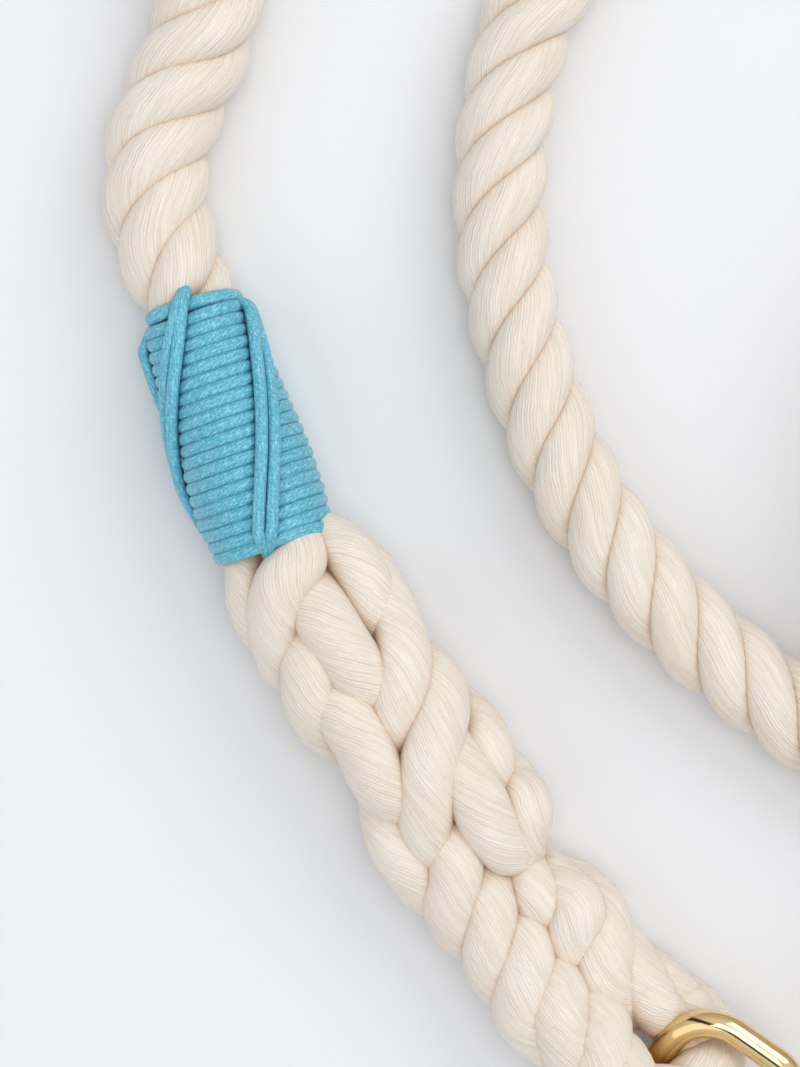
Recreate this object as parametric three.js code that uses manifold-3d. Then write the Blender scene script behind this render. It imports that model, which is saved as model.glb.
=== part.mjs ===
// Cotton halter lead rope with an eye splice on a swivel bolt snap.
// Millimetres, +Z up, everything lying on the plane z = 0.
// Origin: centre of the flat on the snap barrel's underside. +X: along the snap, from its eye to its hook.

import * as THREE from 'three';
import { mergeVertices } from 'three/addons/utils/BufferGeometryUtils.js';
import Module from 'manifold-3d';

const wasm = await Module();
wasm.setup();

// ---- Driving dimensions ----

const ROPE = 16;                 // laid rope, diameter
const GAP = 0.3;                 // between solids that touch on the real object
const CORD = 2;                  // waxed whipping cord, diameter

const AXIS_Z = 8.6;              // height of the snap's long axis
const BARREL_R = 9;
const BARREL_HALF = 22;          // the barrel runs this far each way from the origin
const BORE_R = 4.7;
const BOLT_R = 4.3;
const BACK_WALL = 3.6;           // closed end of the barrel, which the swivel shank goes through
const SHANK_R = 3;
const HEAD_R = 4.2;              // peened head that keeps the shank in the barrel
const HEAD_LENGTH = 3;

const ROD = 4.2;                 // rod of the swivel eye
const BAR_X = -46.7;             // centre line of the eye's far bar, which carries the rope
const EYE_HALF = 15.5;           // centre line of the eye's side rods, from the snap's axis
const EYE_CORNER = 7;
const SHOULDER_X = -27.2;        // centre line of the eye's near end
const EYE_ROLL = THREE.MathUtils.degToRad(24);

const HOOK_R = 3.7;
const HOOK_TIP_X = 41.4;         // mouth of the cup that receives the bolt
const CUP_R = 5.5;
const CUP_DEPTH = 2;
const BOLT_BACK_X = 8;
const BOLT_FRONT_X = 42.9;
const STUD_X = 14;
const STUD_R = 2.2;
const TRAVEL = 15;               // how far the bolt draws back

const COIL_CENTRE = new THREE.Vector3(0.2, 142, 0);
const COIL_R = 84;               // outer turn on the ground; the next turns lie a rope's width inside it
const TAIL_R = 45;               // the tail end lies inside the coil on this radius

// ---- Materials ----

const looks = {
  cotton: { color: 0xe5dcd1, roughness: 0.95, metalness: 0 },
  waxed: { color: 0x64b3cd, roughness: 0.5, metalness: 0 },
  brass: { color: 0xe3c28e, roughness: 0.18, metalness: 1 },
  steel: { color: 0xb8babd, roughness: 0.3, metalness: 1 },
};

const part = new THREE.Group();

function add(name, geometry, look) {
  const mesh = new THREE.Mesh(geometry, new THREE.MeshStandardMaterial(looks[look]));
  mesh.name = name;
  part.add(mesh);
}

// ---- Solids ----

function solid(geometry) {
  const bare = geometry.clone();
  bare.deleteAttribute('normal');
  bare.deleteAttribute('uv');
  const merged = mergeVertices(bare, 1e-4);
  return new wasm.Manifold(new wasm.Mesh({
    numProp: 3,
    vertProperties: new Float32Array(merged.attributes.position.array),
    triVerts: new Uint32Array(merged.index.array),
  }));
}

function geometryOf(manifold) {
  const mesh = manifold.getMesh();
  const geometry = new THREE.BufferGeometry();
  geometry.setAttribute('position', new THREE.BufferAttribute(mesh.vertProperties, 3));
  geometry.setIndex(new THREE.BufferAttribute(mesh.triVerts, 1));
  return geometry;
}

function circle(radius, sides) {
  const points = [];
  for (let i = 0; i < sides; i++) {
    const angle = 2 * Math.PI * i / sides;
    points.push(new THREE.Vector2(radius * Math.cos(angle), radius * Math.sin(angle)));
  }
  return new THREE.Shape(points);
}

function tube(path, radius, sides, steps) {
  return new THREE.ExtrudeGeometry(circle(radius, sides), { steps, extrudePath: path, bevelEnabled: false });
}

// A round body on the snap's axis from [x, radius] pairs, which start and end on the axis.
function turned(profile, sides) {
  const points = profile.map(([x, radius]) => new THREE.Vector2(radius, x));
  return new THREE.LatheGeometry(points, sides).rotateZ(-Math.PI / 2).translate(0, 0, AXIS_Z);
}

function rod(x0, x1, radius, sides) {
  return turned([[x0, 0], [x0, radius], [x1, radius], [x1, 0]], sides);
}

function block(x0, x1, y0, y1, z0, z1) {
  return new THREE.BoxGeometry(x1 - x0, y1 - y0, z1 - z0)
    .translate((x0 + x1) / 2, (y0 + y1) / 2, (z0 + z1) / 2);
}

// An oval section swept through stations [x, y, z, half width, half height]; side(tangent) points along the width.
function swept(stations, side, sides, steps) {
  const path = new THREE.CatmullRomCurve3(stations.map(([x, y, z]) => new THREE.Vector3(x, y, z)));
  const sizes = new THREE.CatmullRomCurve3(stations.map(([, , , w, h]) => new THREE.Vector3(w, h, 0)));
  const points = [];
  const faces = [];
  for (let i = 0; i <= steps; i++) {
    const centre = path.getPoint(i / steps);
    const tangent = path.getTangent(i / steps);
    const size = sizes.getPoint(i / steps);
    const across = side(tangent).projectOnPlane(tangent).normalize();
    const up = tangent.clone().cross(across);
    for (let j = 0; j < sides; j++) {
      const angle = 2 * Math.PI * j / sides;
      const p = centre.clone()
        .addScaledVector(across, size.x * Math.cos(angle))
        .addScaledVector(up, size.y * Math.sin(angle));
      points.push(p.x, p.y, p.z);
    }
  }
  for (let i = 0; i < steps; i++) {
    for (let j = 0; j < sides; j++) {
      const a = i * sides + j;
      const b = i * sides + (j + 1) % sides;
      faces.push(a, b, a + sides, b, b + sides, a + sides);
    }
  }
  const last = steps * sides;
  for (let j = 1; j < sides - 1; j++) {
    faces.push(0, j + 1, j, last, last + j, last + j + 1);
  }
  const geometry = new THREE.BufferGeometry();
  geometry.setAttribute('position', new THREE.Float32BufferAttribute(points, 3));
  geometry.setIndex(faces);
  return geometry;
}

const level = (tangent) => new THREE.Vector3(-tangent.y, tangent.x, 0);

// ---- Swivel bolt snap ----

function hookPath() {
  return new THREE.CatmullRomCurve3([
    [8, -3], [15, -8], [22, -15], [30, -19.3], [39, -20.2],
    [48, -17.2], [53.6, -10.5], [54, -4], [50.5, -0.4], [46, 0],
  ].map(([x, y]) => new THREE.Vector3(x, y, AXIS_Z)));
}

function snapBody() {
  const barrel = solid(turned([
    [-BARREL_HALF, 0], [-BARREL_HALF, 5.4], [-20.6, 7.4], [-18, BARREL_R],
    [16, BARREL_R], [18.6, 8.2], [BARREL_HALF, 7], [BARREL_HALF, 0],
  ], 36));
  const hook = solid(tube(hookPath(), HOOK_R, 10, 28));
  const cup = solid(turned([
    [HOOK_TIP_X, 0], [HOOK_TIP_X, CUP_R], [46, CUP_R], [49.5, 4], [50.5, 0],
  ], 24));
  const bore = solid(rod(-BARREL_HALF + BACK_WALL, HOOK_TIP_X + CUP_DEPTH, BORE_R, 24));
  const shankHole = solid(rod(-BARREL_HALF - 1, -BARREL_HALF + BACK_WALL + 1, SHANK_R + GAP + 0.05, 24));
  const slotWidth = STUD_R + GAP + 0.1;
  const slot = solid(block(
    STUD_X - TRAVEL - slotWidth, STUD_X + slotWidth, 0, BARREL_R + 1, AXIS_Z - slotWidth, AXIS_Z + slotWidth,
  ));
  const ground = solid(block(-80, 80, -40, 40, -20, 0));
  return barrel.add(hook).add(cup).subtract(bore).subtract(shankHole).subtract(slot).subtract(ground);
}

// Half of the eye's loop, from the shank's boss round to just past the middle of the bar.
function halfLoop(hand) {
  const at = (x, y) => new THREE.Vector3(x, hand * y, 0);
  const path = new THREE.CurvePath();
  const nearCorner = 5;
  path.add(new THREE.LineCurve3(at(SHOULDER_X, 0), at(SHOULDER_X, EYE_HALF - nearCorner)));
  path.add(new THREE.QuadraticBezierCurve3(
    at(SHOULDER_X, EYE_HALF - nearCorner), at(SHOULDER_X, EYE_HALF), at(SHOULDER_X - nearCorner, EYE_HALF),
  ));
  path.add(new THREE.LineCurve3(at(SHOULDER_X - nearCorner, EYE_HALF), at(BAR_X + EYE_CORNER, EYE_HALF)));
  path.add(new THREE.QuadraticBezierCurve3(
    at(BAR_X + EYE_CORNER, EYE_HALF), at(BAR_X, EYE_HALF), at(BAR_X, EYE_HALF - EYE_CORNER),
  ));
  path.add(new THREE.LineCurve3(at(BAR_X, EYE_HALF - EYE_CORNER), at(BAR_X, -0.5)));
  return tube(path, ROD / 2, 10, 32).rotateX(EYE_ROLL).translate(0, 0, AXIS_Z);
}

function swivelEye() {
  const inside = -BARREL_HALF + BACK_WALL + GAP;
  const shank = solid(turned([
    [SHOULDER_X - 1.6, 0], [SHOULDER_X - 1.6, 3.4], [SHOULDER_X + 1, 5], [-BARREL_HALF - 1.2, 5],
    [-BARREL_HALF - GAP, 4.4], [-BARREL_HALF - GAP, SHANK_R], [inside, SHANK_R], [inside, HEAD_R],
    [inside + HEAD_LENGTH - 1, HEAD_R], [inside + HEAD_LENGTH, 2.6], [inside + HEAD_LENGTH, 0],
  ], 24));
  return shank.add(solid(halfLoop(1))).add(solid(halfLoop(-1)));
}

function snapBolt() {
  return turned([
    [BOLT_BACK_X, 0], [BOLT_BACK_X, BOLT_R], [BOLT_FRONT_X - 2, BOLT_R],
    [BOLT_FRONT_X - 0.5, 3.4], [BOLT_FRONT_X, 0],
  ], 24);
}

// The stud is pressed into the side of the bolt and ends in a grooved thumb knob.
function thumbStud() {
  const profile = [
    [BOLT_R + 0.15, 0], [BOLT_R + 0.15, STUD_R], [9.6, STUD_R], [10.4, 3.6], [12.4, 4], [14.2, 3.4], [15, 2], [15, 0],
  ];
  const points = profile.map(([y, radius]) => new THREE.Vector2(radius, y));
  return new THREE.LatheGeometry(points, 20).translate(STUD_X, 0, AXIS_Z);
}

class Helix extends THREE.Curve {
  constructor(x0, x1, radius, turns) {
    super();
    Object.assign(this, { x0, x1, radius, turns });
  }

  getPoint(t, target = new THREE.Vector3()) {
    const angle = 2 * Math.PI * this.turns * t;
    const x = this.x0 + (this.x1 - this.x0) * t;
    return target.set(x, this.radius * Math.cos(angle), AXIS_Z + this.radius * Math.sin(angle));
  }
}

function boltSpring() {
  const wire = 0.8;
  const start = -BARREL_HALF + BACK_WALL + GAP + HEAD_LENGTH + GAP + wire / 2;
  const end = BOLT_BACK_X - GAP - wire / 2;
  return tube(new Helix(start, end, 3.4, 7), wire / 2, 6, 84);
}

// ---- Rope at the snap: bight round the bar, eye splice, whipping ----

const barAlong = new THREE.Vector3(0, Math.cos(EYE_ROLL), Math.sin(EYE_ROLL));
const barUp = new THREE.Vector3(0, -Math.sin(EYE_ROLL), Math.cos(EYE_ROLL));

// The bight passes under the bar near its raised end, round its front and back over its middle.
function bightStations() {
  const stations = [[-57.4, 12.3, 7.4, 7.8, 6.4], [-52.2, 11.9, 6.9, 8, 5.4]];
  const under = { along: 9.2, half: 4.6 };
  const over = { along: 0.2, half: 6 };
  for (let angle = -90; angle <= 90; angle += 30) {
    const share = (angle + 90) / 180;
    const swell = 1.1 * Math.sin(Math.PI * share);
    const half = under.half + (over.half - under.half) * share + swell;
    const along = under.along + (over.along - under.along) * share;
    const reach = ROD / 2 + GAP + 0.1 + half;
    const centre = new THREE.Vector3(BAR_X, 0, AXIS_Z)
      .addScaledVector(barAlong, along)
      .addScaledVector(new THREE.Vector3(1, 0, 0), reach * Math.cos(THREE.MathUtils.degToRad(angle)))
      .addScaledVector(barUp, reach * Math.sin(THREE.MathUtils.degToRad(angle)));
    stations.push([centre.x, centre.y, centre.z, 7.5, half]);
  }
  stations.push([-51.4, -4, 15.3, 7.7, 6.2], [-55.4, -4.2, 13.6, 7.8, 6.8]);
  return stations;
}

// From the eye's two legs lying side by side to the round neck under the whipping.
const spliceStations = [
  [-59.4, 4.6, 8.2, 15.3, 8], [-62.5, 4.7, 8.4, 15, 8.2], [-68, 6.3, 8.8, 14.3, 8.6], [-75, 9.4, 9.4, 13.2, 9.2],
  [-83, 12, 10.1, 12.5, 9.9], [-93, 15.6, 10.6, 12, 10.3], [-103, 19.6, 10.8, 11.4, 10.3],
  [-112.5, 23.4, 11.1, 10.8, 10.2], [-121.5, 26.5, 11.5, 10.3, 10], [-129, 29.1, 12, 10.1, 9.9],
  [-133.5, 31, 12.4, 10, 9.7], [-137.4, 33.1, 12.7, 9.8, 9.5],
];

const NECK = new THREE.Vector3(-139.4, 34.5, 12.9);     // whipping's end at the splice
const THROAT = new THREE.Vector3(-171.2, 56.9, 9.2);    // whipping's end at the running rope
const whippingRadii = [9.3, 10.1, 10.2, 9.8, 9.4, 9, 8.4];

function whippingStations() {
  return whippingRadii.map((radius, i) => {
    const p = NECK.clone().lerp(THROAT, i / (whippingRadii.length - 1));
    return [p.x, p.y, p.z, radius, radius];
  });
}

// A doubled cord laid on the whipping, turning from its start angle as it runs to the neck. Angle 0 faces up.
class Frapping extends THREE.Curve {
  constructor(startAngle) {
    super();
    this.startAngle = startAngle;
  }

  getPoint(t, target = new THREE.Vector3()) {
    const along = NECK.clone().sub(THROAT).normalize();
    const right = along.clone().cross(new THREE.Vector3(0, 0, 1)).normalize().negate();
    const up = along.clone().cross(right);
    const share = 0.02 + 0.96 * t;
    const place = (1 - share) * (whippingRadii.length - 1);
    const i = Math.min(Math.floor(place), whippingRadii.length - 2);
    const radius = THREE.MathUtils.lerp(whippingRadii[i], whippingRadii[i + 1], place - i);
    const angle = THREE.MathUtils.degToRad(this.startAngle - 87 * t);
    const reach = radius + GAP + CORD / 2;
    return target.copy(THROAT).lerp(NECK, share)
      .addScaledVector(up, reach * Math.cos(angle))
      .addScaledVector(right, reach * Math.sin(angle));
  }
}

// ---- Running rope, coil and tail ----

// Where the rope lies from the whipping to the coil: up, round a wide bend, back down and across.
const route = [
  [-171.9, 57.4, 8.9], [-175.8, 60.1, 8.6], [-180.9, 63.3, 8.1], [-185.4, 67.8, 8], [-189.2, 73.8, 8],
  [-191.9, 83, 8], [-193.4, 90.8, 8], [-196.6, 98.6, 8], [-203.9, 107.4, 8], [-212.2, 117.5, 8],
  [-218.1, 132.9, 8], [-217.5, 152.9, 8], [-206.7, 168.9, 8], [-189.7, 176, 8], [-172.4, 172.2, 8],
  [-160.3, 161.2, 8], [-154.9, 145.5, 8], [-154.6, 126, 8], [-151.9, 116.8, 8], [-148, 108.2, 8],
  [-142.5, 98.8, 8], [-135.9, 90.5, 8], [-127.9, 82.8, 8], [-119, 75.9, 8], [-109.3, 69.6, 8],
  [-97.7, 64.5, 8], [-85.8, 61.3, 8], [-73.8, 59.6, 8], [-58.4, 58.8, 8], [-40, 58.2, 8],
  [-20, 58, 8], [0.2, 58, 8],
];

// Two turns side by side on the ground and one lying in the groove between them.
function coilRing(grow) {
  const inner = COIL_R - 1.5 * ROPE - grow;
  const outer = COIL_R + 0.5 * ROPE + grow;
  const top = 1.87 * ROPE + grow;
  const profile = [
    [inner, 4], [inner + 3, -grow], [outer - 3, -grow], [outer, 4], [outer, 12], [outer - 3, ROPE + grow],
    [outer - 8, 20 + grow], [outer - 8, top - 3], [outer - 11, top], [inner + 11, top],
    [inner + 8, top - 3], [inner + 8, 20 + grow], [inner + 3, ROPE + grow], [inner, 12], [inner, 4],
  ];
  const points = profile.map(([radius, z]) => new THREE.Vector2(radius, z));
  return new THREE.LatheGeometry(points, 48).rotateX(Math.PI / 2).translate(COIL_CENTRE.x, COIL_CENTRE.y, 0);
}

function onCoil(radius, degrees, z) {
  const angle = THREE.MathUtils.degToRad(degrees);
  return [COIL_CENTRE.x + radius * Math.cos(angle), COIL_CENTRE.y + radius * Math.sin(angle), z];
}

function curveThrough(points) {
  return new THREE.CatmullRomCurve3(points.map((p) => new THREE.Vector3(...p)));
}

// The rope's end comes down inside the coil, then the whipping and the back splice follow it round.
const tailRope = [
  onCoil(65, 28, 23.7), onCoil(59, 42, 21.2), onCoil(54, 56, 15.2), onCoil(51.4, 70, 10), onCoil(49.5, 84, 8.4),
  onCoil(47.2, 100, 8.9), onCoil(45.6, 113, 10),
];

function alongTail(from, to, radii) {
  return radii.map((radius, i) => {
    const degrees = from + (to - from) * i / (radii.length - 1);
    return [...onCoil(TAIL_R, degrees, 10.8), radius, radius];
  });
}

// ---- Assembly ----

add('snap_body', geometryOf(snapBody()), 'brass');
add('swivel_eye', geometryOf(swivelEye()), 'brass');
add('snap_bolt', snapBolt(), 'brass');
add('thumb_stud', thumbStud(), 'brass');
add('bolt_spring', boltSpring(), 'steel');

add('rope_eye', swept(bightStations(), () => barAlong.clone(), 12, 30), 'cotton');
add('eye_splice', swept(spliceStations, level, 12, 20), 'cotton');
add('snap_end_whipping', swept(whippingStations(), level, 16, 12), 'waxed');
[['frapping_pair_a', 9], ['frapping_pair_b', 82], ['frapping_pair_c', -100]].forEach(([name, angle]) => {
  add(name, tube(new Frapping(angle), CORD / 2, 8, 14), 'waxed');
});

const ringRoom = solid(coilRing(GAP));
add('lead_rope', geometryOf(solid(tube(curveThrough(route), ROPE / 2, 10, 44)).subtract(ringRoom)), 'cotton');
add('rope_coil', coilRing(0), 'cotton');
add('rope_tail', geometryOf(solid(tube(curveThrough(tailRope), ROPE / 2, 10, 12)).subtract(ringRoom)), 'cotton');
add('tail_whipping', swept(alongTail(115, 149, [9.4, 9.8, 10, 10, 10, 9.9, 9.7]), level, 14, 6), 'waxed');
add('tail_back_splice', swept(alongTail(151.2, 246, [9.4, 9.6, 9.8, 10, 10, 10, 10.2, 10.4, 10.6, 10.2, 7]), level, 12, 12), 'cotton');

export default part;
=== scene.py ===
import math

import bmesh
import bpy
import numpy as np
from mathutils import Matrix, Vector


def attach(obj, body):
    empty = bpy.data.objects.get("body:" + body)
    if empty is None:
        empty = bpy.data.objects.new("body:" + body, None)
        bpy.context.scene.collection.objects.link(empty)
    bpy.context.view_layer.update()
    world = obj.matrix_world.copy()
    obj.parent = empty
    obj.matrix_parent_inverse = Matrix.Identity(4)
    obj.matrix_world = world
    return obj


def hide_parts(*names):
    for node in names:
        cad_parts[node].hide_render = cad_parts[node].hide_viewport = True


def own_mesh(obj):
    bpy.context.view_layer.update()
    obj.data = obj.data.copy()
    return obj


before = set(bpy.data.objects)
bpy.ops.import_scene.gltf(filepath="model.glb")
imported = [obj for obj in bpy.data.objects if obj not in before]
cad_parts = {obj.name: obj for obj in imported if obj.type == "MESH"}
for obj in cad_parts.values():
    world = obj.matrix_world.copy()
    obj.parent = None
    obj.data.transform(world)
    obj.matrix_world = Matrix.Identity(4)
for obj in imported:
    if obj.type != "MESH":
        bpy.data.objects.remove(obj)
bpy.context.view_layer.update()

# Lengths below are in millimetres in the CAD frame, and become metres when a mesh is made.
MM = 0.001
UP = np.array([0.0, 0.0, 1.0])

ROPE = 16.0            # laid rope, diameter
LAY = 29.0             # length in which a strand of the rope goes once round
CORD = 2.0             # waxed cord, diameter
PITCH = 1.9            # from one turn of a whipping to the next
FRAPPING = 0.98        # half the diameter of a cord laid over a whipping

AXIS_Z = 8.6           # the snap's long axis, as in the CAD
BAR_X = -46.7
EYE_ROLL = math.radians(24)
ROD = 4.2
EYE_HALF = 15.5
SHOULDER_X = -27.2

NECK = np.array([-139.4, 34.5, 12.9])      # the whipping's end at the splice
THROAT = np.array([-171.2, 56.9, 9.2])     # and at the running rope

COIL_CENTRE = (0.2, 142.0)
COIL_R = 84.0          # outer turn's centre line
TAIL_R = 45.0          # rope's end, which lies curved inside the coil
TAIL_Z = 10.8


# ---- Lines in space ----

def spline(points, step):
    """A smooth line through the points, as evenly spaced points about step apart."""
    points = np.array(points, float)
    ends = np.vstack([2 * points[0] - points[1], points, 2 * points[-1] - points[-2]])
    t = np.linspace(0, 1, 24, endpoint=False)[:, None]
    out = []
    for a, b, c, d in zip(ends, ends[1:], ends[2:], ends[3:]):
        out.append(0.5 * (2 * b + (c - a) * t + (2 * a - 5 * b + 4 * c - d) * t ** 2
                          + (3 * b - a - 3 * c + d) * t ** 3))
    return even(np.vstack(out + [points[-1:]]), step)


def distances(line):
    """How far along the line each of its points is."""
    return np.concatenate([[0], np.cumsum(np.linalg.norm(np.diff(line, axis=0), axis=1))])


def sampled(rows, far, wanted):
    """What the rows, which stand at the distances far, come to at the wanted distances."""
    return np.column_stack([np.interp(wanted, far, rows[:, k]) for k in range(3)])


def even(line, step):
    """The same line as evenly spaced points, about step apart."""
    far = distances(line)
    return sampled(line, far, np.linspace(0, far[-1], max(2, int(round(far[-1] / step)) + 1)))


def unit(vectors):
    return vectors / np.linalg.norm(vectors, axis=-1, keepdims=True)


def tangents(line):
    return unit(np.gradient(line, axis=0))


def about_coil(radius, degrees, z):
    """The place at that radius and angle about the coil's centre."""
    angle = math.radians(degrees)
    return [COIL_CENTRE[0] + radius * math.cos(angle), COIL_CENTRE[1] + radius * math.sin(angle), z]


def carried(line, first):
    """Vectors across the line that turn with it and never about it, starting near first."""
    along = tangents(line)
    across = np.empty_like(line)
    current = first
    for i, t in enumerate(along):
        current = current - t * current.dot(t)
        current = current / np.linalg.norm(current)
        across[i] = current
    return across


def ease(x, low, high):
    """0 below low, 1 above high, smooth between."""
    t = np.clip((x - low) / (high - low), 0, 1)
    return t * t * (3 - 2 * t)


def wander(x, seed, wave, size):
    """A gentle irregular change along x: a few sines of seeded phase, size at most."""
    rng = np.random.RandomState(seed)
    total = np.zeros_like(x)
    for k in range(4):
        total += np.sin(2 * math.pi * x / (wave * (0.6 + 0.5 * k)) + rng.uniform(0, 2 * math.pi))
    return size * total / 4


# ---- Meshes ----

SLANT = [0.31, 0.52, 0.79]     # a direction in which no tube starts


class Surface:
    """Gathers closed tubes into one mesh. Its map 'strand' is the share round a tube, then mm along it."""

    def __init__(self):
        self.points, self.faces, self.maps, self.count = [], [], [], 0

    def tube(self, line, outward, wide, thick, sides):
        """A tube on the line. thick is its half size towards outward, wide the other half size."""
        along = tangents(line)
        radial = unit(outward - along * np.sum(outward * along, axis=1)[:, None])
        across = np.cross(along, radial)
        angle = np.linspace(0, 2 * math.pi, sides, endpoint=False) + math.pi     # map's seam faces inward
        c, s = np.cos(angle), np.sin(angle)
        wide = np.broadcast_to(wide, len(line))
        thick = np.broadcast_to(thick, len(line))
        rings = (line[:, None, :] + (thick[:, None] * c)[:, :, None] * radial[:, None, :]
                 + (wide[:, None] * s)[:, :, None] * across[:, None, :])
        n = len(line)
        i, j = np.meshgrid(np.arange(n - 1), np.arange(sides), indexing="ij")
        a = (i * sides + j).ravel()
        b = (i * sides + (j + 1) % sides).ravel()
        quads = np.column_stack([a, b, b + sides, a + sides]) + self.count
        far = distances(line)
        u0, u1 = (j / sides).ravel(), ((j + 1) / sides).ravel()
        v0, v1 = far[i.ravel()], far[i.ravel() + 1]
        corners = np.stack([np.stack([u0, v0], 1), np.stack([u1, v0], 1),
                            np.stack([u1, v1], 1), np.stack([u0, v1], 1)], 1)
        self.points.append(rings.reshape(-1, 3))
        self.faces += quads.tolist()
        self.maps.append(corners.reshape(-1, 2))
        ring = list(range(sides))
        for cap, height in ((ring[::-1], far[0]), ([(n - 1) * sides + k for k in ring], far[-1])):
            self.faces.append([k + self.count for k in cap])
            self.maps.append(np.array([[(k % sides) / sides, height] for k in cap]))
        self.count += n * sides

    def round(self, line, radius, sides, flatten=None, outward=None):
        """A tube whose section never turns about the line. Along outward it is flatten times as thick."""
        first = np.cross(tangents(line)[0], SLANT)
        before = len(self.points)
        self.tube(line, carried(line, first), radius, radius, sides)
        if flatten is not None:
            flatten = np.broadcast_to(flatten, len(line))
            out = unit(outward - tangents(line) * np.sum(outward * tangents(line), axis=1)[:, None])
            rings = self.points[before].reshape(len(line), sides, 3)
            offset = rings - line[:, None, :]
            depth = np.einsum("ijk,ik->ij", offset, out) * (1 - flatten)[:, None]
            self.points[before] = (rings - depth[:, :, None] * out[:, None, :]).reshape(-1, 3)

    def object(self, name, material, body):
        mesh = bpy.data.meshes.new(name)
        points = np.vstack(self.points) * MM
        mesh.from_pydata(points.tolist(), [], self.faces)
        mesh.polygons.foreach_set("use_smooth", [True] * len(mesh.polygons))
        mesh.uv_layers.new(name="strand").data.foreach_set("uv", np.vstack(self.maps).ravel())
        mesh.materials.append(material)
        mesh.update()
        piece = bpy.data.objects.new(name, mesh)
        bpy.context.scene.collection.objects.link(piece)
        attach(piece, body)
        return piece


# ---- Materials ----

WHITE = (1.0, 1.0, 1.0)


def set_stops(ramp, stops):
    """Gives a colour ramp its stops, each a place and a colour."""
    while len(ramp.elements) < len(stops):
        ramp.elements.new(0.5)
    for element, (place, colour) in zip(ramp.elements, stops):
        element.position = place
        element.color = (*colour, 1.0)


class Nodes:
    """A material's node tree, with short calls for the nodes that the materials below use."""

    def __init__(self, name):
        self.material = bpy.data.materials.new(name)
        self.material.use_nodes = True
        self.tree = self.material.node_tree
        self.shader = self.tree.nodes["Principled BSDF"]

    def new(self, kind, **values):
        node = self.tree.nodes.new("ShaderNode" + kind)
        for key, value in values.items():
            setattr(node, key, value)
        return node

    def link(self, source, target):
        self.tree.links.new(source, target)

    def put(self, socket, value):
        if isinstance(value, bpy.types.NodeSocket):
            self.link(value, socket)
        else:
            socket.default_value = value

    def math(self, operation, a, b=0.0, c=0.0):
        node = self.new("Math", operation=operation)
        for socket, value in zip(node.inputs, (a, b, c)):
            self.put(socket, value)
        return node.outputs[0]

    def wave(self, turns):
        """A sine that comes round once in each whole turn."""
        return self.math("SINE", self.math("MULTIPLY", turns, 2 * math.pi))

    def strand(self):
        """The two numbers of the map 'strand'."""
        where = self.new("UVMap", uv_map="strand")
        parts = self.new("SeparateXYZ")
        self.link(where.outputs["UV"], parts.inputs[0])
        return parts.outputs["X"], parts.outputs["Y"]

    def noise(self, scale, detail=2.0, rough=0.5):
        place = self.new("TexCoord")
        node = self.new("TexNoise")
        self.link(place.outputs["Object"], node.inputs["Vector"])
        node.inputs["Scale"].default_value = scale
        node.inputs["Detail"].default_value = detail
        node.inputs["Roughness"].default_value = rough
        return node.outputs["Fac"]

    def streaks(self, turn, along, scale, spread):
        """Noise drawn out along the tube: it comes round to itself, and changes slowly along."""
        angle = self.math("MULTIPLY", turn, 2 * math.pi)
        place = self.new("CombineXYZ")
        self.link(self.math("MULTIPLY", self.math("COSINE", angle), spread), place.inputs[0])
        self.link(self.math("MULTIPLY", self.math("SINE", angle), spread), place.inputs[1])
        self.link(along, place.inputs[2])
        node = self.new("TexNoise")
        self.link(place.outputs[0], node.inputs["Vector"])
        node.inputs["Scale"].default_value = scale
        node.inputs["Detail"].default_value = 2.5
        return node.outputs["Fac"]

    def painted_hollow_shade(self, distance, stops):
        """Painted shade for creases and recesses: a darker tint by how shut in the surface is."""
        node = self.new("AmbientOcclusion", samples=6)
        node.inputs["Distance"].default_value = distance
        return self.ramp(node.outputs["AO"], stops)

    def ramp(self, value, stops):
        node = self.new("ValToRGB")
        set_stops(node.color_ramp, stops)
        self.link(value, node.inputs[0])
        return node.outputs["Color"]

    def product(self, colour, *tints):
        """The colour multiplied by each tint."""
        for tint in tints:
            node = self.new("Mix", data_type="RGBA", blend_type="MULTIPLY")
            node.inputs["Factor"].default_value = 1.0
            self.link(colour, node.inputs["A"])
            self.link(tint, node.inputs["B"])
            colour = node.outputs["Result"]
        return colour

    def bump(self, height, distance, strength=1.0):
        node = self.new("Bump")
        node.inputs["Strength"].default_value = strength
        node.inputs["Distance"].default_value = distance
        self.link(height, node.inputs["Height"])
        self.link(node.outputs["Normal"], self.shader.inputs["Normal"])


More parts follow.
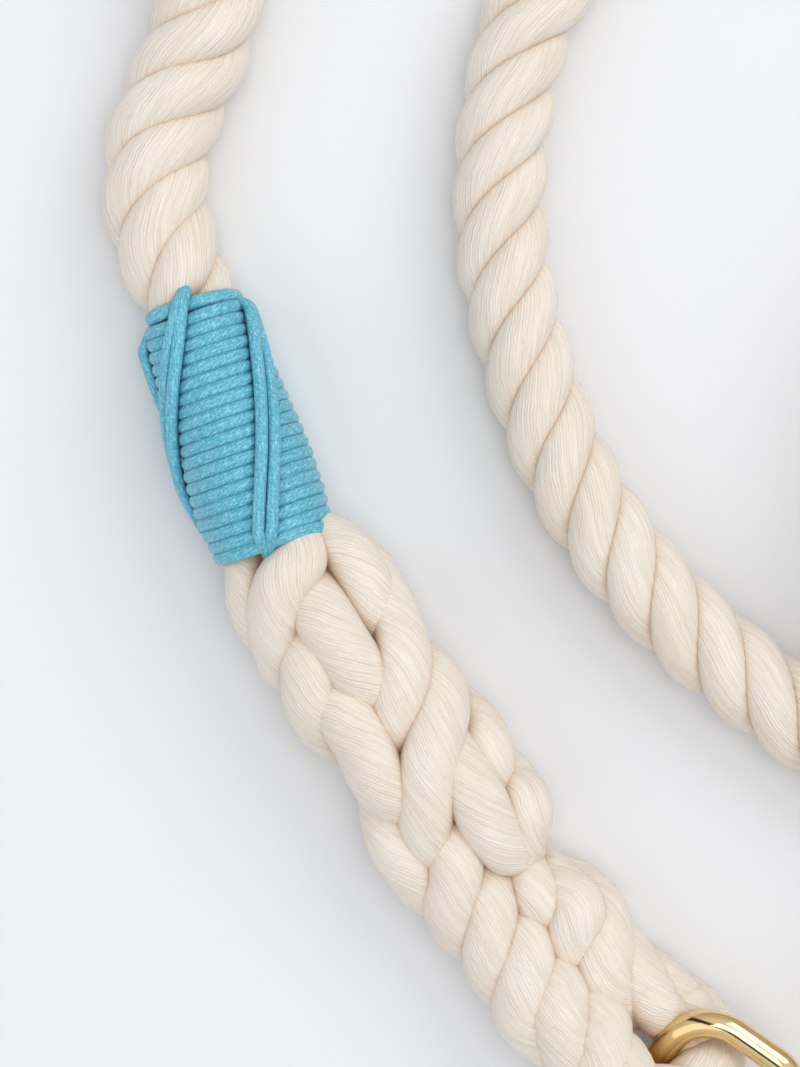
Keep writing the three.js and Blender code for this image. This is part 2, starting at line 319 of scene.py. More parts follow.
def cotton():
    """Undyed cotton: yarns that wind round each strand, fibres in the yarns, faint stains, a soft sheen,
    painted shade towards the grooves between the yarns and painted warm shade in the creases.
    """
    n = Nodes("cotton_rope")
    u, v = n.strand()
    yarns, turn = 46.0, 1.75             # yarns round a strand, and how many are crossed in 1 mm along it
    spread = yarns / 6.28
    loose = n.math("MULTIPLY", n.math("SUBTRACT", n.noise(300.0, 3.0), 0.5), 1.5)
    phase = n.math("ADD", n.math("MULTIPLY_ADD", u, yarns, n.math("MULTIPLY", v, turn)), loose)
    ridge = n.math("MULTIPLY_ADD", n.wave(phase), 0.5, 0.5)
    place = n.math("MULTIPLY", phase, 1 / yarns)
    streak = n.streaks(place, n.math("MULTIPLY", v, 0.11), 1.35, spread)
    fibre = n.streaks(place, n.math("MULTIPLY", v, 0.35), 4.2, spread)
    fine = n.math("MULTIPLY_ADD", streak, 1.3, n.math("MULTIPLY", fibre, 0.8))
    height = n.math("MULTIPLY_ADD", ridge, 0.42, fine)
    # Shared by the painted shade in the yarn grooves and the faint random stains.
    stain_and_groove_shade = (0.95, 0.925, 0.90)
    tone = n.ramp(streak, [(0.32, (0.82, 0.738, 0.642)), (0.5, (0.885, 0.815, 0.728)),
                           (0.68, (0.935, 0.88, 0.805))])
    # Painted shade: the yarns darken towards the grooves between them.
    groove = n.ramp(ridge, [(0.0, stain_and_groove_shade), (0.5, WHITE)])
    cloudy = n.ramp(n.noise(55.0, 4.0), [(0.3, stain_and_groove_shade), (0.7, WHITE)])
    # Painted shade: creases and the gaps between strands darken to a warm brown.
    painted_crease_shade = n.painted_hollow_shade(0.005, [(0.0, (0.50, 0.32, 0.19)), (0.42, (0.87, 0.775, 0.68)), (0.8, WHITE)])
    n.link(n.product(tone, groove, cloudy, painted_crease_shade), n.shader.inputs["Base Color"])
    n.shader.inputs["Roughness"].default_value = 0.92
    n.shader.inputs["Specular IOR Level"].default_value = 0.2
    n.shader.inputs["Sheen Weight"].default_value = 0.3
    n.shader.inputs["Sheen Roughness"].default_value = 0.5
    n.bump(height, 0.00013)
    return n.material


def waxed_cord():
    """Round braided cord in turquoise wax: small diagonal braid facets under a soft sheen, painted shade
    between the facets and in the creases between turns, and painted highlights in the lightest fibre
    streaks.
    """
    n = Nodes("waxed_cord")
    u, v = n.strand()
    plaits, turn = 4.0, 0.85             # plaits round the cord, and how many are crossed in 1 mm along it
    one, two = (n.wave(n.math("MULTIPLY_ADD", u, plaits, n.math("MULTIPLY", v, hand * turn)))
                for hand in (1, -1))
    braid = n.math("MULTIPLY_ADD", n.math("MULTIPLY", one, two), 0.5, 0.5)
    fibre = n.streaks(n.math("MULTIPLY_ADD", v, 0.06, u), n.math("MULTIPLY", v, 0.55), 2.6, 1.9)
    height = n.math("MULTIPLY_ADD", fibre, 1.6, n.math("MULTIPLY", braid, 0.6))
    # Random fibre streaks in the wax's colour, the lightest of them painted highlights.
    tone = n.ramp(fibre, [(0.34, (0.07, 0.385, 0.52)), (0.5, (0.115, 0.475, 0.62)),
                          (0.68, (0.31, 0.67, 0.79))])
    # Painted shade between the braid's facets.
    shade = n.ramp(braid, [(0.0, (0.78, 0.83, 0.86)), (0.5, WHITE)])
    # Painted shade: the creases between the cord's turns darken.
    painted_crease_shade = n.painted_hollow_shade(0.0018, [(0.0, (0.08, 0.22, 0.32)), (0.35, (0.55, 0.68, 0.74)), (0.75, WHITE)])
    n.link(n.product(tone, shade, painted_crease_shade), n.shader.inputs["Base Color"])
    n.shader.inputs["Roughness"].default_value = 0.4
    n.shader.inputs["Sheen Weight"].default_value = 0.1
    n.bump(height, 0.00007)
    return n.material


def brass():
    """Polished brass with faint buffing marks and a little tarnish."""
    n = Nodes("polished_brass")
    tone = n.ramp(n.noise(70.0, 3.0), [(0.3, (0.80, 0.58, 0.27)), (0.7, (0.90, 0.69, 0.36))])
    n.link(tone, n.shader.inputs["Base Color"])
    n.shader.inputs["Metallic"].default_value = 1.0
    rough = n.new("MapRange")
    n.link(n.noise(190.0, 4.0, 0.6), rough.inputs["Value"])
    rough.inputs["To Min"].default_value = 0.05
    rough.inputs["To Max"].default_value = 0.15
    n.link(rough.outputs["Result"], n.shader.inputs["Roughness"])
    n.bump(n.noise(350.0, 3.0), 0.00003, 0.5)
    return n.material


def spring_steel():
    """Drawn grey wire."""
    n = Nodes("spring_steel")
    tone = n.ramp(n.noise(500.0), [(0.3, (0.42, 0.42, 0.43)), (0.7, (0.62, 0.62, 0.63))])
    n.link(tone, n.shader.inputs["Base Color"])
    n.shader.inputs["Metallic"].default_value = 1.0
    n.shader.inputs["Roughness"].default_value = 0.32
    return n.material


# ---- Camera, floor and light ----

LOOK_AT = np.array([-124.8, 46.8, 8.0])
IMAGE_TURN = math.radians(35)            # how far the picture's upward direction is turned from +Y
PICTURE_HEIGHT = 164.2                   # what the picture takes in from top to bottom
LENS = 85.0
SENSOR = 36.0

# Each light's name, place in the picture and above the floor, side in metres, watts and colour.
LIGHTS = [
    ("key", (520, 420, 620), 0.55, 2.1, (1.0, 0.985, 0.96)),
    ("top", (60, -30, 900), 0.5, 2.0, WHITE),
    ("fill", (-600, -300, 700), 0.9, 1.2, (0.95, 0.97, 1.0)),
]
SKY_STRENGTH = 0.80
SKY_LOW, SKY_HIGH = (0.60, 0.61, 0.63), (0.98, 0.99, 1.0)
BAND_ACROSS = (-0.5, -0.85, 0.0)         # the direction in which the sky's dark band is crossed
BAND_GREY = 0.06
TABLE_HALF = 15.0                        # in metres


def picture(right, up, z=0.0):
    """The place on the level z that lies so far right of and above the picture's centre."""
    c, s = math.cos(IMAGE_TURN), math.sin(IMAGE_TURN)
    return np.array([LOOK_AT[0] + right * c - up * s, LOOK_AT[1] + right * s + up * c, z])


def camera():
    data = bpy.data.cameras.new("camera")
    data.lens, data.sensor_width = LENS, SENSOR
    data.clip_start, data.clip_end = 0.01, 10
    view = bpy.data.objects.new("camera", data)
    view.location = Vector(LOOK_AT + UP * LENS * PICTURE_HEIGHT / SENSOR) * MM
    view.rotation_euler = (0, 0, IMAGE_TURN)
    bpy.context.scene.collection.objects.link(view)
    bpy.context.scene.camera = view


def area_light(name, place, side, power, colour):
    """A square light, turned to the middle of the picture."""
    data = bpy.data.lights.new(name, "AREA")
    data.shape, data.size, data.size_y = "RECTANGLE", side, side
    data.energy, data.color = power, colour
    lamp = bpy.data.objects.new(name, data)
    lamp.location = Vector(place) * MM
    towards = Vector((LOOK_AT - place).tolist())
    lamp.rotation_euler = towards.to_track_quat("-Z", "Y").to_euler()
    bpy.context.scene.collection.objects.link(lamp)


def sky():
    """An even sky, greyer near the horizon, with a dark band across it for the metal to reflect."""
    world = bpy.data.worlds.new("studio")
    world.use_nodes = True
    tree = world.node_tree
    background = tree.nodes["Background"]
    background.inputs["Strength"].default_value = SKY_STRENGTH
    where, parts, shade, across, band, both = (
        tree.nodes.new("ShaderNode" + kind)
        for kind in ("TexCoord", "SeparateXYZ", "ValToRGB", "VectorMath", "ValToRGB", "Mix"))
    tree.links.new(where.outputs["Generated"], parts.inputs[0])
    tree.links.new(parts.outputs["Z"], shade.inputs[0])
    set_stops(shade.color_ramp, [(0.02, SKY_LOW), (0.7, SKY_HIGH)])
    across.operation = "DOT_PRODUCT"
    across.inputs[1].default_value = BAND_ACROSS
    tree.links.new(where.outputs["Generated"], across.inputs[0])
    tree.links.new(across.outputs["Value"], band.inputs[0])
    dark = (BAND_GREY, BAND_GREY, BAND_GREY)
    set_stops(band.color_ramp, [(0.10, WHITE), (0.16, dark), (0.30, dark), (0.38, WHITE)])
    both.data_type, both.blend_type = "RGBA", "MULTIPLY"
    both.inputs["Factor"].default_value = 1.0
    tree.links.new(shade.outputs["Color"], both.inputs["A"])
    tree.links.new(band.outputs["Color"], both.inputs["B"])
    tree.links.new(both.outputs["Result"], background.inputs["Color"])
    bpy.context.scene.world = world
    bpy.context.scene.view_settings.view_transform = "Standard"


def table():
    """The pale floor."""
    n = Nodes("table")
    tone = n.ramp(n.noise(3.0), [(0.3, (0.785, 0.795, 0.82)), (0.7, (0.82, 0.83, 0.845))])
    n.link(tone, n.shader.inputs["Base Color"])
    n.shader.inputs["Roughness"].default_value = 0.6
    mesh = bpy.data.meshes.new("table")
    corners = [(x * TABLE_HALF, y * TABLE_HALF, 0) for x, y in ((-1, -1), (1, -1), (1, 1), (-1, 1))]
    mesh.from_pydata(corners, [], [(0, 1, 2, 3)])
    mesh.materials.append(n.material)
    floor = bpy.data.objects.new("table", mesh)
    bpy.context.scene.collection.objects.link(floor)


def studio():
    sky()
    for name, place, side, power, colour in LIGHTS:
        area_light(name, picture(*place), side, power, colour)
    table()


# ---- The running rope ----

STRAND_OUT = 4.15              # from the rope's centre to a strand's
STRAND_WIDE = 4.05             # half a strand's size across the rope, and outwards from it
STRAND_THICK = 3.85


def laid(surface, path, size):
    """Three strands laid round the path. size scales the rope at each point."""
    far = distances(path)
    normal = carried(path, np.cross(UP, tangents(path)[0]))
    binormal = np.cross(tangents(path), normal)
    turn = 0.4 + 2 * math.pi * np.cumsum(np.gradient(far) / LAY)
    for k in range(3):
        angle = turn + 2 * math.pi * k / 3
        outward = normal * np.cos(angle)[:, None] + binormal * np.sin(angle)[:, None]
        swell = 1 + wander(far, 11 + k, 60.0, 0.035)
        centre = path + outward * (STRAND_OUT * size)[:, None]
        surface.tube(centre, outward, STRAND_WIDE * size * swell, STRAND_THICK * size * swell, 26)


# The CAD's route, from the whipping round the wide bend to the coil.
route = [
    [-171.9, 57.4, 8.9], [-175.8, 60.1, 8.6], [-180.9, 63.3, 8.1], [-185.4, 67.8, 8], [-189.2, 73.8, 8],
    [-191.9, 83, 8], [-193.4, 90.8, 8], [-196.6, 98.6, 8], [-203.9, 107.4, 8], [-212.2, 117.5, 8],
    [-218.1, 132.9, 8], [-217.5, 152.9, 8], [-206.7, 168.9, 8], [-189.7, 176, 8], [-172.4, 172.2, 8],
    [-160.3, 161.2, 8], [-154.9, 145.5, 8], [-154.6, 126, 8], [-151.9, 116.8, 8], [-148, 108.2, 8],
    [-142.5, 98.8, 8], [-135.9, 90.5, 8], [-127.9, 82.8, 8], [-119, 75.9, 8], [-109.3, 69.6, 8],
    [-97.7, 64.5, 8], [-85.8, 61.3, 8], [-73.8, 59.6, 8], [-58.4, 58.8, 8], [-40, 58.2, 8],
    [-20, 58, 8], [0.2, 58, 8],
]


# In degrees round the coil's centre, from its start to its end.
COIL_SPAN = (274, 1161)
DRAWING_IN = (520, 600)        # the first turn draws in to become the second
CLIMBING = (800, 870)          # the second turn rolls up over the first
GOING_DOWN = (1090, 1160)      # the end rolls down inside the second turn


def coil():
    """The wound length: one turn on the ground, one inside it, then on top in their groove, and down."""
    ground = ROPE / 2
    inner, middle = COIL_R - ROPE, COIL_R - ROPE / 2

    def drawn_in(degrees):
        return COIL_R - ROPE * ease(degrees, *DRAWING_IN)

    places = []
    for degrees in np.arange(*COIL_SPAN, 4.0):
        if degrees < CLIMBING[0]:
            radius, z = drawn_in(degrees), ground
        elif degrees < CLIMBING[1]:
            lift = math.radians(180 - 60 * ease(degrees, *CLIMBING))
            radius, z = COIL_R + ROPE * math.cos(lift), ground + ROPE * math.sin(lift)
        elif degrees < GOING_DOWN[0]:
            radius = middle
            below = min(abs(middle - drawn_in(degrees - 360)), ROPE / 2)
            z = ground + math.sqrt(ROPE ** 2 - below ** 2)
        else:
            lift = math.radians(60 + 120 * (degrees - GOING_DOWN[0]) / (GOING_DOWN[1] - GOING_DOWN[0]))
            radius, z = inner + ROPE * math.cos(lift), ground + ROPE * math.sin(lift)
        places.append(about_coil(radius, degrees, z))
    return places


def lead_rope(material):
    """The running rope, from inside the whipping to inside the one at its other end."""
    inside = THROAT + (NECK - THROAT) * 0.25
    way_in = [about_coil(48.2, 96, 8.4), about_coil(45.9, 108, 9.9), about_coil(TAIL_R, 120, TAIL_Z)]
    path = spline([inside] + route + coil() + way_in, 1.3)
    far = distances(path)
    gripped = 0.86 + 0.2 * ease(far, 8, 17)
    size = gripped - 0.13 * ease(far, 90, 260) + 0.07 * ease(far, 420, 520)
    surface = Surface()
    laid(surface, path, size)
    rope = surface.object("lead_rope_strands", material, "rope")
    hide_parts("lead_rope", "rope_coil", "rope_tail")
    return rope, path, far[-1]


# ---- The eye splice ----

SPLICE_FROM = np.array([-137.4, 33.1, 12.7])
SPLICE_TO = np.array([-59.4, 4.6, 8.2])
SPLICE_LENGTH = 83.0
SINK = (SPLICE_TO[2] - SPLICE_FROM[2]) / SPLICE_LENGTH
ALONG = unit((SPLICE_TO - SPLICE_FROM) * [1, 1, 0])
ASIDE = np.cross(UP, ALONG)


def spliced(track):
    """Points of a strand from rows of: how far along the splice, aside of its axis and above it."""
    return [SPLICE_FROM + ALONG * s + ASIDE * aside + UP * (SINK * s + above) for s, aside, above in track]


# The strands of the leg that goes over the bar, and then those of the leg that goes under it.
OVER_LEG = {
    "a": [(-9, 3, 1), (-3.5, 4.4, 2.6), (-0.4, 4.4, 4.0), (1.8, 2.6, 6.0), (3.2, -1.2, 6.4),
          (6.2, -5, 5), (10, -7.4, 2.2), (14, -8.2, -2), (20, -4, -6.4), (28, 3.6, -6.6),
          (34, 8.4, -4), (38.5, 9.8, -0.4), (42, 9, 2.2), (45.5, 6.6, 1.4), (49, 3.5, -0.6),
          (53, -0.5, -1.2)],
    "b": [(-9, 2, -3), (-3, 4, -3.8), (3, 8.2, -4.4), (9, 9.8, -2), (14.5, 9.6, 1.6), (19.3, 8.6, 4),
          (23.7, 6.4, 5.8), (27, 3.2, 6), (30, -0.4, 4.2), (33, -3.6, 1), (37, -6.6, 0), (41, -9, 1.2),
          (45, -10.4, 2.4), (49.5, -10.8, 2.2), (54, -10.8, 0)],
    "c": [(-9, -3, 1), (-3.5, -4.2, 1), (0.5, -6.2, 1), (3.5, -7.4, 0), (7.5, -7.6, -2.2),
          (12, -6, -2.4), (16, -4.8, -0.6), (19.5, -4.6, 2), (23, -5, 4.4), (26, -5.2, 5.8),
          (30, -5.6, 6.2), (34, -6.4, 5.9), (38, -6.8, 4.6), (41.5, -6, 1.8), (45, -4.4, -0.3),
          (48, -3.2, 1.2), (50.5, -3.2, 3.6)],
}
UNDER_LEG = {
    "d": [(-9, 0, 0), (-3, 0.4, 0.4), (1, 0.6, 1.2), (5, 0.8, 2.6), (9, 0.8, 5.2), (13, 0.5, 6.7),
          (18, 0.3, 6.8), (22, 0.4, 5.6), (25.5, 1.2, 2.8), (30, 3, 0.2), (35, 4.6, 0), (39, 5, 2.6),
          (42.5, 4.6, 5.2), (46, 4, 6.4), (50, 3.2, 6.4), (53, 3, 5.4), (56, 3, 3), (59, 3.4, 0)],
    "e": [(-9, -2, -2.6), (-3, -2.6, -2.4), (2, -3.2, -1.2), (8, -3.4, 0.6), (12.5, -3.8, 3),
          (16, -5.6, 5), (20, -8.2, 4.2), (24, -9.2, 1), (28, -8, -3), (34, -2.5, -6.4),
          (40, 3.5, -6.6), (45, 8.4, -4), (49.5, 9.4, 0.4), (53, 8.6, 3.4)],
    "f": [(-9, 4, -1), (-3.5, 5, 0), (-0.4, 7.0, 1), (4, 8.9, 2.6), (9, 8.9, 3.6), (13, 7.6, 3),
          (17, 6.4, 0.8), (21, 6.6, -0.6), (25, 8.2, -0.6), (28.5, 9, 2.2), (32.2, 7.4, 4.8),
          (35, 4.4, 6.2), (38, 1, 6.9), (41.5, -1.8, 6.7), (45.2, -4.8, 5.4), (48, -6.6, 2.8),
          (50, -7, -0.5), (54, -3.4, -5.4), (59, 3.6, -6.2)],
}
# How far along each strand is on top of its leg, and from where on it is simply laid.
TOPS = {"a": 64.0, "b": 46.5, "c": 55.5, "d": 50.5, "e": 59.8, "f": 69.8}
HELIX_FROM = {"a": 57.0, "b": 57.0, "c": 53.5, "d": 62.0, "e": 56.0, "f": 64.0}
LEG_START = 50.0
LEG_LAY = 28.0
LEG_OUT = 4.0                  # from a leg's centre to a strand's
LEG_HALF = 4.15                # half a strand's diameter in the legs
TUCKED_HALF = 4.55             # and in the splice
FULLER_HALF = 4.75             # where two of the strands are fuller

BAR_ALONG = np.array([0, math.cos(EYE_ROLL), math.sin(EYE_ROLL)])
BAR_UP = np.array([0, -math.sin(EYE_ROLL), math.cos(EYE_ROLL)])
BAR_CENTRE = np.array([BAR_X, 0, AXIS_Z])


def bight():
    """The rope's centre line from the splice over the bar, round it and back under it."""
    over = spliced([(LEG_START, -6.3, 0.4), (60, -6.0, 0.6), (70, -5.6, 1.2)])
    over += [[-65.0, 0.6, 10.9], [-59.6, 0.6, 12.1], [-54.8, -0.8, 13.6], [-51.1, -2.6, 15.3]]
    around = []
    for degrees in range(90, -91, -30):
        share = (degrees + 90) / 180
        reach = ROD / 2 + 5.0 + 1.4 * share + 1.1 * math.sin(math.pi * share)
        angle = math.radians(degrees)
        around.append(BAR_CENTRE + BAR_ALONG * (9.2 - 9.0 * share)
                      + reach * (math.cos(angle) * np.array([1, 0, 0]) + math.sin(angle) * BAR_UP))
    under = [[-52.3, 10.7, 6.9], [-57.6, 9.9, 7.4], [-63.2, 10.9, 7.9]]
    under += spliced([(70, 5.7, -0.3), (60, 5.2, -0.1), (LEG_START, 5.6, 0.1)])
    return spline(over + around + under, 0.5)


def splice(material):
    """Three strands that come down one leg, go round the bar and go back up the other leg, tucked."""
    centre = bight()
    far, way = distances(centre), tangents(centre)
    normal = carried(centre, UP)
    binormal = np.cross(way, normal)
    s = (centre - SPLICE_FROM) @ ALONG
    middle = int(np.argmax(s))
    squeeze = np.exp(-((centre[:, 0] - BAR_X) / 9.0) ** 2)       # 1 where the rope bears on the bar
    first = int(np.argmin(np.abs(s[:middle] - TOPS["a"])))
    last = middle + int(np.argmin(np.abs(s[middle:] - TOPS["e"])))
    # The turns between those tops come out in whole thirds, and a half: the rope arrives upside down.
    turns = round(((far[last] - far[first]) / LEG_LAY - 0.5) * 3) / 3 + 0.5
    phase = turns * (far - far[first]) / (far[last] - far[first])

    surface = Surface()
    for k, name in enumerate(OVER_LEG):
        turn = phase + round(3 * (TOPS["a"] - TOPS[name]) / LEG_LAY) / 3
        angle = 2 * math.pi * turn
        helix = (centre + normal * (LEG_OUT * (1 - 0.5 * squeeze) * np.cos(angle))[:, None]
                 + binormal * (LEG_OUT * 1.1 * (1 - 0.15 * squeeze) * np.sin(angle))[:, None])
        arriving = turn[last] - 0.5
        miss = {key: abs((arriving + (TOPS[key] - TOPS["e"]) / LEG_LAY + 0.5) % 1 - 0.5)
                for key in UNDER_LEG}
        other = min(miss, key=miss.get)          # the strand that this one comes back as
        laid_part = [i for i in range(0, len(centre), 8)
                     if s[i] >= (HELIX_FROM[name] if i <= middle else HELIX_FROM[other])]
        points = spliced(OVER_LEG[name]) + helix[laid_part].tolist() + spliced(UNDER_LEG[other])[::-1]
        line = spline(points, 0.55)
        at = (line - SPLICE_FROM) @ ALONG
        axis = SPLICE_FROM + ALONG * at[:, None] + UP * (SINK * at)[:, None]
        nearest = np.argmin(((line[:, None, :] - centre[None, ::4, :]) ** 2).sum(axis=2), axis=1) * 4
        outward = np.where((at > LEG_START + 6)[:, None], line - centre[nearest], line - axis)
        bearing = np.exp(-((line[:, 0] - BAR_X) / 10.0) ** 2)
        full = FULLER_HALF if name == "c" or other == "d" else TUCKED_HALF
        slimmer = (full - LEG_HALF) * ease(at, 48, 62)
        uneven = wander(distances(line), 5 + k, 26.0, 0.2)
        wide = full * (0.8 + 0.2 * ease(at, -2, 5)) - slimmer + uneven
        wide = wide + 0.5 * np.exp(-((at - 80) / 7.0) ** 2)      # fuller beside the eye
        surface.round(line, wide, 44, 1 - 0.10 - 0.14 * bearing, outward)
    piece = surface.object("splice_strands", material, "rope")
    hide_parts("eye_splice", "rope_eye")


# ---- Whippings ----

def rounded(start, end, right, share, angle, radius):
    """Points on a wrapped neck: share of the way from start to end, angle from the top towards right."""
    along = unit(end - start)
    right = unit(right - along * np.dot(right, along))
    up = np.cross(right, along)
    up = up if up[2] > 0 else -up
    share, angle, radius = np.broadcast_arrays(share, angle, radius)
    return (start + (end - start) * share[:, None] + up * (np.cos(angle) * radius)[:, None]
            + right * (np.sin(angle) * radius)[:, None])


NECK_RADII = [8.5, 9.0, 9.4, 9.8, 10.3, 10.2, 9.5]               # from the running rope to the splice
PAIR_START = [math.radians(a) for a in (-4, 80, -84)]            # where each frapping pair starts
PAIR_SWEEP = [math.radians(a) for a in (-140, -86, -95)]         # and how far it winds
PAIR_SPAN = [(-0.09, 1.0), (-0.02, 1.07), (-0.01, 0.99)]         # from and to, as shares of the whipping
WRAP_TURNS = 20.6
BEDDED = 0.95                  # from the whipping's surface in to its cord's centre, and out to a pair's
WRAP_SUNK, PAIR_SUNK = 1.6, 4.2    # how much deeper the cord's and the pairs' ends go
PICTURE_RIGHT = np.array([math.cos(IMAGE_TURN), math.sin(IMAGE_TURN), 0])


def neck_radius(share, angle):
    """The whipping's surface: wide at the splice, and drawn in under each frapping pair."""
    radius = np.interp(share, np.linspace(0, 1, len(NECK_RADII)), NECK_RADII)
    for start, sweep in zip(PAIR_START, PAIR_SWEEP):
        apart = (angle - start - sweep * share + math.pi) % (2 * math.pi) - math.pi
        radius = radius - 0.75 * np.exp(-(apart / 0.36) ** 2)      # as deep, and as wide to each side
    return radius


def whipping(material):
    """The cord wound round the splice's neck, and the three pairs that cross it."""
    surface = Surface()
    angle = np.arange(-math.pi / 2, 2 * math.pi * WRAP_TURNS - math.pi / 2, 0.075)
    length = np.linalg.norm(NECK - THROAT)
    along = 0.6 + PITCH * (angle + math.pi / 2) / (2 * math.pi)
    lean = 1.2 * np.cos(angle) - 0.2 * np.sin(angle) - 0.6
    keep = ease(angle, -1.5, 3) * (1 - ease(angle, angle[-1] - 4, angle[-1] - 0.5))
    share = (along + lean * keep) / length
    radius = neck_radius(share, angle) - BEDDED + wander(angle * 9, 3, 40.0, 0.10)
    ends = (1 - ease(angle, angle[0], angle[0] + 0.8)) + ease(angle, angle[-1] - 0.8, angle[-1])
    line = rounded(THROAT, NECK, PICTURE_RIGHT, share, angle, radius - WRAP_SUNK * ends)
    outward = line - rounded(THROAT, NECK, PICTURE_RIGHT, share, angle, 0 * radius)
    surface.round(line, 1.12 * CORD / 2, 12, 0.86, outward)
    wraps = surface.object("neck_whipping_cord", material, "rope")
    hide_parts("snap_end_whipping")
    for k, start in enumerate(PAIR_START):
        pair = Surface()
        begin, end = PAIR_SPAN[k]
        share = np.linspace(begin, end, 110)
        depth = PAIR_SUNK * ((1 - ease(share, begin, begin + 0.13)) + ease(share, end - 0.10, end))
        opened = ease(share, begin, begin + 0.35) * (1 - ease(share, end - 0.12, end - 0.01))
        for side in (-1, 1):
            apart = side * (0.1 + 0.95 * opened)
            centre_angle = start + PAIR_SWEEP[k] * share
            radius = neck_radius(np.clip(share, 0, 1), centre_angle) + BEDDED - depth
            line = rounded(THROAT, NECK, PICTURE_RIGHT, share, centre_angle + apart / radius, radius)
            line = even(line, 0.4)
            pair.round(line, FRAPPING * (0.5 + 0.5 * ease(distances(line), 0, 3.0)), 14)
        piece = pair.object("frapping_cords_" + "abc"[k], material, "rope")
        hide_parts("frapping_pair_" + "abc"[k])


# ---- The rope's other end ----

TAIL_START, TAIL_WHIPPED, TAIL_END = 115.0, 150.0, 246.0         # degrees round the coil's centre
BACK_LAY = 30.0


def tail_axis(first, last, step=0.5):
    """The rope's centre line between those degrees."""
    return even(np.array([about_coil(TAIL_R, d, TAIL_Z) for d in np.arange(first, last + 0.1, 2.0)]), step)


class Round:
    """Places round a line: how far along it, the angle from its top, and the distance out."""

    def __init__(self, axis):
        self.axis, self.far = axis, distances(axis)
        self.normal = carried(axis, UP)
        self.across = np.cross(tangents(axis), self.normal)

    def place(self, at, turn, radius):
        centre, n, b = (sampled(rows, self.far, at) for rows in (self.axis, self.normal, self.across))
        return centre + n * (radius * np.cos(turn))[:, None] + b * (radius * np.sin(turn))[:, None]


def tail_whipping(material):
    """The same whipping round the rope's other end, with three pairs over it."""
    end = Round(tail_axis(TAIL_START + 0.5, TAIL_WHIPPED, 0.25))
    far = end.far
    fine = np.linspace(0, far[-1], int(far[-1] / PITCH * 60))
    angle = 2 * math.pi * fine / PITCH
    radius = 8.7 + 0.35 * np.sin(3 * angle + 0.4 * fine)
    surface = Surface()
    surface.round(end.place(fine, angle, radius), CORD / 2 + 0.02, 10)
    for start in (0.3, 2.4, 4.5):
        for side in (-1, 1):
            turn = start - 1.4 * far / far[-1] + side * 0.1
            out = 10.1 - 3.0 * (1 - ease(far, 0, 2)) - 3.0 * ease(far, far[-1] - 2, far[-1])
            surface.round(end.place(far, turn, out), FRAPPING, 10)
    piece = surface.object("tail_whipping_cord", material, "rope")
    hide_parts("tail_whipping")


def back_splice(material):
    """Each strand winds to the end, turns back over its neighbour, and is tucked over one and under one."""
    end = Round(tail_axis(TAIL_START - 6, TAIL_END - 5))
    total = end.far[-1]
    surface = Surface()
    for k in range(3):
        base = 2 * math.pi * k / 3
        out_at = np.arange(0, total - 2, 2.0)
        out_turn = base + 2 * math.pi * (out_at - total) / BACK_LAY
        weave = np.cos(2 * math.pi * (total - out_at) / (2 * BACK_LAY / 3))
        joined = ease(out_at, 30, 38)
        out_radius = 3.8 + joined * (1.7 - 1.7 * weave)
        back_at = out_at[out_at > 26][::-1]
        back_turn = base + 2 * math.pi / 3 + 0.02 * (total - back_at)
        back_weave = np.cos(2 * math.pi * (total - back_at) / (2 * BACK_LAY / 3))
        back_radius = 2.0 + ease(back_at, 29, 38) * (3.5 + 1.7 * back_weave)
        over_at = total + np.array([0.2, 2.2, 3.2, 2.2, 0.2])
        over_turn = base + 2 * math.pi / 3 * np.array([0.05, 0.2, 0.5, 0.8, 0.98])
        over_radius = np.array([4.2, 5.0, 5.6, 6.3, 6.6])
        line = spline(np.vstack([end.place(out_at, out_turn, out_radius),
                                 end.place(over_at, over_turn, over_radius),
                                 end.place(back_at, back_turn, back_radius)]), 0.8)
        surface.round(line, 3.85 + wander(distances(line), 31 + k, 30.0, 0.12), 28)
    piece = surface.object("tail_strands", material, "rope")
    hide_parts("tail_back_splice")


# ---- The snap ----

def bolt_spring(material):
    """The wire that pushes the bolt shut."""
    turns, start, end, radius = 7, -14.4, 7.3, 3.4
    t = np.linspace(0, 1, turns * 40)
    angle = 2 * math.pi * turns * t
    closing = ease(t, 0, 0.12) - ease(1 - t, 0, 0.12) + 1
    along = start + (end - start) * (0.06 * closing / 2 + 0.94 * t)
    line = np.column_stack([along, radius * np.cos(angle), AXIS_Z + radius * np.sin(angle)])
    surface = Surface()
    surface.round(line, 0.4, 12)
    piece = surface.object("spring_wire", material, "snap")
    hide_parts("bolt_spring")
    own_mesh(piece)


SHARP = math.radians(42)                 # edges sharper than this stay sharp
BARREL_SHARP = math.radians(27)          # and on the barrel, this
BARREL_END, BARREL_R = 22.1, 9.05
FAR_CORNER, NEAR_CORNER = 7.0, 5.0       # how round the eye's corners are, away from the snap and near it
# The shank's outline: the place along the snap's axis, and the radius there.
SHANK = [(-28.8, 3.3), (-28.2, 3.9), (-26.4, 4.9), (-25.6, 5.05), (-23.8, 5.05), (-23.0, 4.8), (-22.35, 4.3),
         (-22.3, 3.0), (-18.1, 3.0), (-18.05, 4.1), (-17.8, 4.2), (-16.3, 4.2), (-15.9, 3.9), (-15.1, 2.6)]


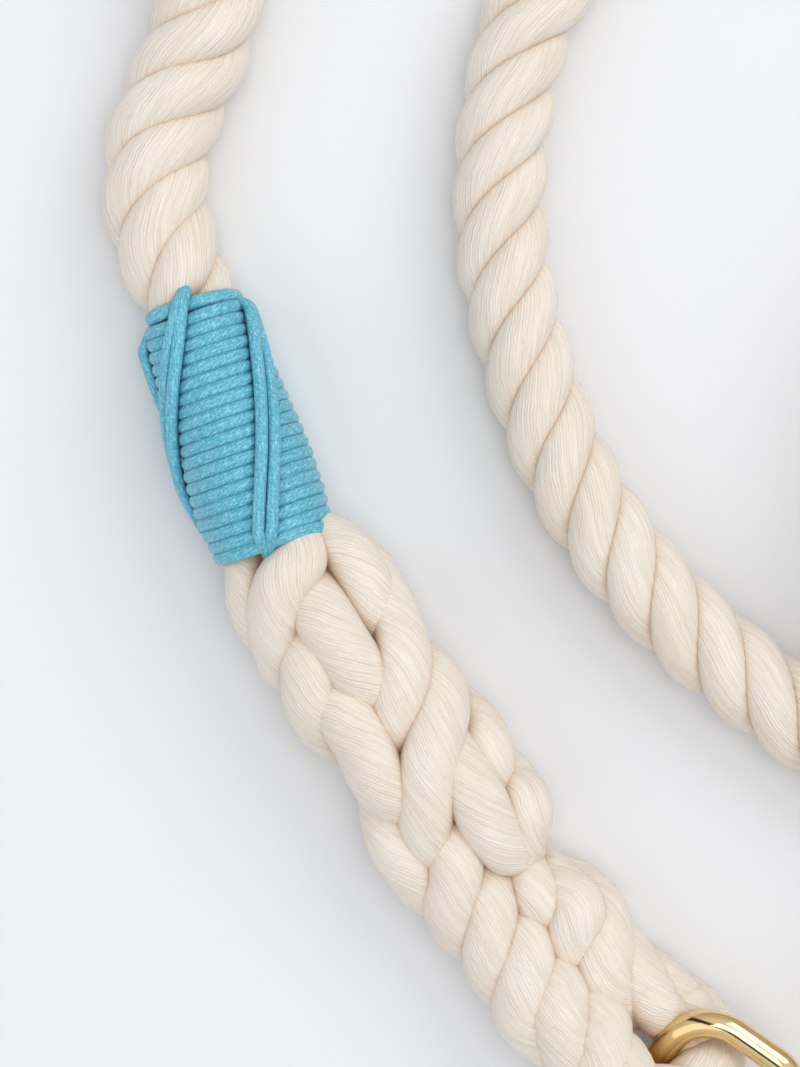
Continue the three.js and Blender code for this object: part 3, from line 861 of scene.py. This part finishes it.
def swivel_eye(material):
    """The eye bent from round rod, rolled on its side, with the shank that turns in the snap."""
    loop = []

    def corner(x, y, size, first, last):
        for degrees in np.linspace(first, last, 12):
            angle = math.radians(degrees)
            loop.append((x + size * math.cos(angle), y + size * math.sin(angle)))

    loop.append((SHOULDER_X, 0))
    corner(SHOULDER_X - NEAR_CORNER, EYE_HALF - NEAR_CORNER, NEAR_CORNER, 0, 90)
    corner(BAR_X + FAR_CORNER, EYE_HALF - FAR_CORNER, FAR_CORNER, 90, 180)
    corner(BAR_X + FAR_CORNER, FAR_CORNER - EYE_HALF, FAR_CORNER, 180, 270)
    corner(SHOULDER_X - NEAR_CORNER, NEAR_CORNER - EYE_HALF, NEAR_CORNER, 270, 360)
    loop.append((SHOULDER_X, 0))
    flat = even(np.array([(x, y, 0) for x, y in loop]), 0.5)
    line = flat[:, :1] * [1, 0, 0] + flat[:, 1:2] * BAR_ALONG + AXIS_Z * UP
    surface = Surface()
    surface.round(line, ROD / 2, 32)
    shank = np.array(SHANK)
    fine = np.linspace(0, 1, 6)[:-1]
    x = np.concatenate([a + (b - a) * fine for a, b in zip(shank[:, 0], shank[1:, 0])])
    r = np.concatenate([a + (b - a) * fine for a, b in zip(shank[:, 1], shank[1:, 1])])
    surface.round(np.column_stack([x, 0 * x, 0 * x + AXIS_Z]), r, 48)
    piece = surface.object("eye_casting", material, "eye")
    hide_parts("swivel_eye")


def finished(node, name, body, material):
    """The CAD's metal piece with its faces joined and its curves shaded smooth."""
    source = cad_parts[node]
    mesh = source.data.copy()
    mesh.name = name
    mesh.transform(source.matrix_world)
    flat = mesh.attributes.get("custom_normal")
    if flat:
        mesh.attributes.remove(flat)
    shape = bmesh.new()
    shape.from_mesh(mesh)
    bmesh.ops.remove_doubles(shape, verts=shape.verts, dist=0.01 * MM)
    for edge in shape.edges:
        middle = (edge.verts[0].co + edge.verts[1].co) / (2 * MM)
        on_barrel = middle.x < BARREL_END and math.hypot(middle.y, middle.z - AXIS_Z) < BARREL_R
        edge.smooth = edge.calc_face_angle(0) < (BARREL_SHARP if on_barrel else SHARP)
    shape.to_mesh(mesh)
    shape.free()
    mesh.polygons.foreach_set("use_smooth", [True] * len(mesh.polygons))
    mesh.materials.clear()
    mesh.materials.append(material)
    piece = bpy.data.objects.new(name, mesh)
    bpy.context.scene.collection.objects.link(piece)
    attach(piece, body)
    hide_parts(node)


camera()
cotton_look, cord_look, brass_look = cotton(), waxed_cord(), brass()
rope, rope_path, rope_length = lead_rope(cotton_look)
splice(cotton_look)
whipping(cord_look)
tail_whipping(cord_look)
back_splice(cotton_look)
bolt_spring(spring_steel())
swivel_eye(brass_look)
bpy.context.view_layer.update()
finished("snap_body", "snap_casting", "snap", brass_look)
finished("snap_bolt", "bolt_rod", "bolt", brass_look)
finished("thumb_stud", "thumb_knob", "bolt", brass_look)
studio()
